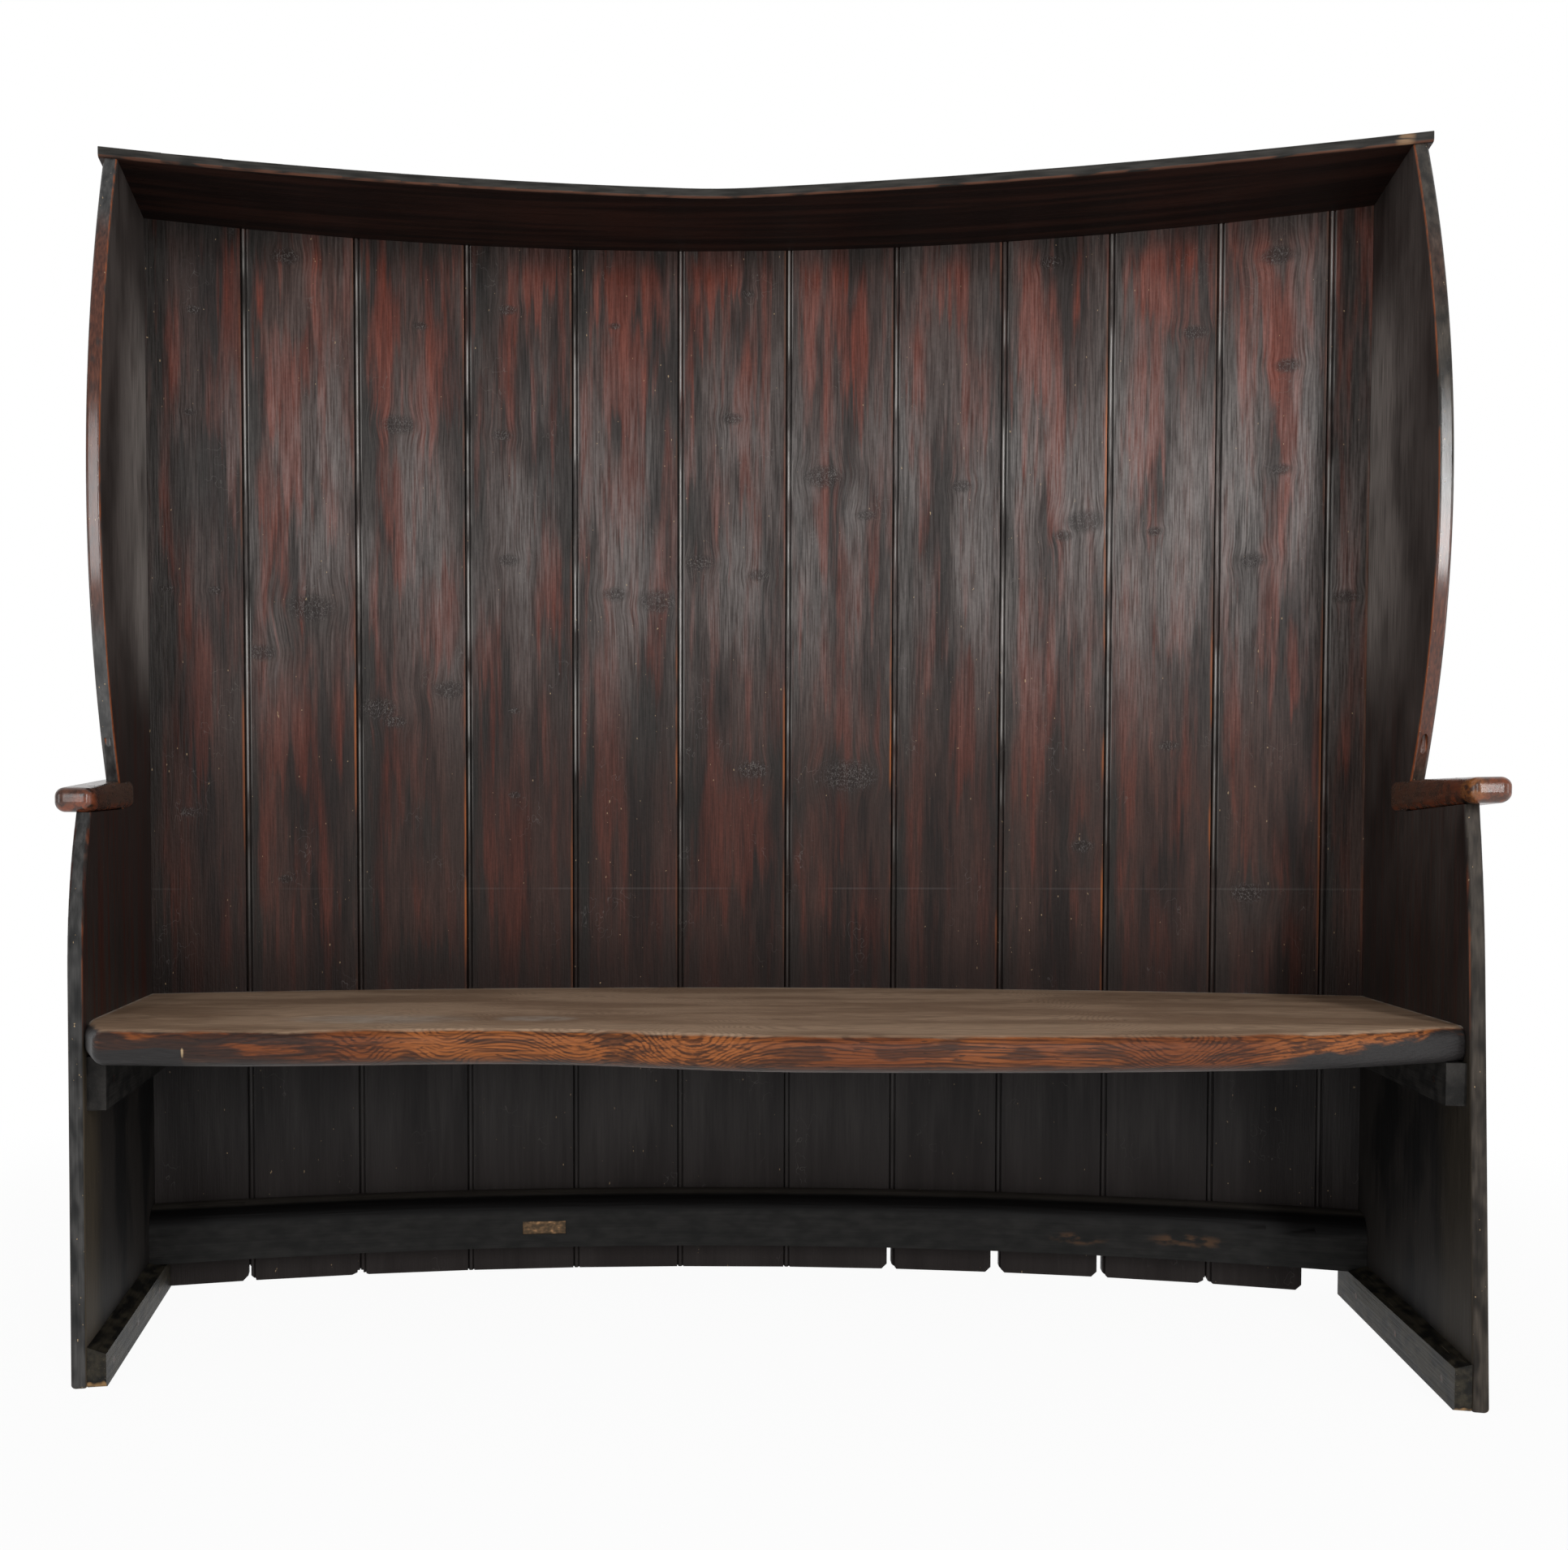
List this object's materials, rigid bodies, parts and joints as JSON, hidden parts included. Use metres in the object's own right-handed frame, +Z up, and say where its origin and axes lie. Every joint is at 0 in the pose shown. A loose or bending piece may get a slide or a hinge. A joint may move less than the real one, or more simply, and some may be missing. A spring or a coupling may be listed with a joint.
{
  "type": "settle",
  "caption": "High-backed hooded settle with a back of upright boards set round a curve, shaped sides with winged tops, short arm rests and a thick plank seat.",
  "frame": {"origin": "on the floor under the middle of the bounding box", "axes": "+X along the seat, to the right as seen from the front; +Y to the back; +Z up"},
  "size_m": [1.8334, 0.6468, 1.59],
  "materials": {
    "back_boards": "dark stained softwood boards, waxed and worn",
    "sides": "dark stained softwood, worn brown on the front edges",
    "hood": "dark stained softwood, waxed",
    "seat": "worn hardwood plank, grey-brown top and polished brown front edge",
    "rail": "dark stained softwood, matt and scuffed",
    "patch": "dark let-in hardwood",
    "arms": "polished reddish brown hardwood, worn at the edges",
    "battens": "dark stained softwood, scuffed",
    "nails": "dark iron, hammered flush"
  },
  "bodies": {
    "root": {"back_board_01": "back_boards", "back_board_02": "back_boards", "back_board_03": "back_boards", "back_board_04": "back_boards", "back_board_05": "back_boards", "back_board_06": "back_boards", "back_board_07": "back_boards", "back_board_08": "back_boards", "back_board_09": "back_boards", "back_board_10": "back_boards", "back_board_11": "back_boards", "back_board_12": "back_boards", "left_side": "sides", "right_side": "sides", "hood": "hood", "seat": "seat", "lower_rail": "rail", "rail_patch": "patch", "left_arm": "arms", "right_arm": "arms", "left_seat_bearer": "battens", "right_seat_bearer": "battens", "left_foot_batten": "battens", "right_foot_batten": "battens", "hood_nails": "nails", "seat_nails": "nails", "rail_nails": "nails", "side_nails": "nails", "arm_nails": "nails", "bearer_nails": "nails", "batten_nails": "nails"}
  },
  "joints": []
}
